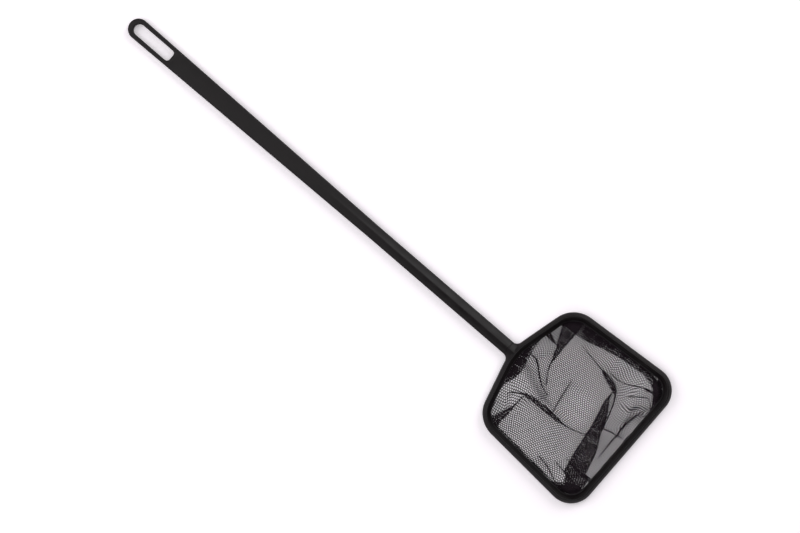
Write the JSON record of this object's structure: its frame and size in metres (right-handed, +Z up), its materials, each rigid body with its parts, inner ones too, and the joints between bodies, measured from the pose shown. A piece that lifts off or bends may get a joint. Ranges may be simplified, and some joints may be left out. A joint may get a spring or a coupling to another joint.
{
  "type": "aquarium fish net",
  "caption": "Black plastic aquarium fish net: a long tapered handle with a hanging slot, and a rounded hoop that clamps a fine knitted mesh bag.",
  "frame": {"origin": "middle of the overall length and width, on the surface that the net lies on", "axes": "+X along the handle towards the hoop, +Y across the handle, +Z up out of the net's open mouth"},
  "size_m": [0.4, 0.1012, 0.0073],
  "materials": {
    "black_plastic": "satin black moulding, slightly mottled, soft broad highlights",
    "ring_plastic": "satin black moulding, a little duller than the frame",
    "net_mesh": "soft black knitted hexagonal mesh, translucent grey over a pale surface",
    "hem_tape": "folded black binding of the same knit, matt",
    "sewing_thread": "black twisted sewing thread with a slight sheen"
  },
  "bodies": {
    "root": {"handle": "black_plastic", "hoop_frame": "black_plastic", "clamp_ring": "ring_plastic", "net_bag": "net_mesh", "hem_band": "hem_tape", "hem_stitching": "sewing_thread", "corner_tacks": "sewing_thread"}
  },
  "joints": []
}
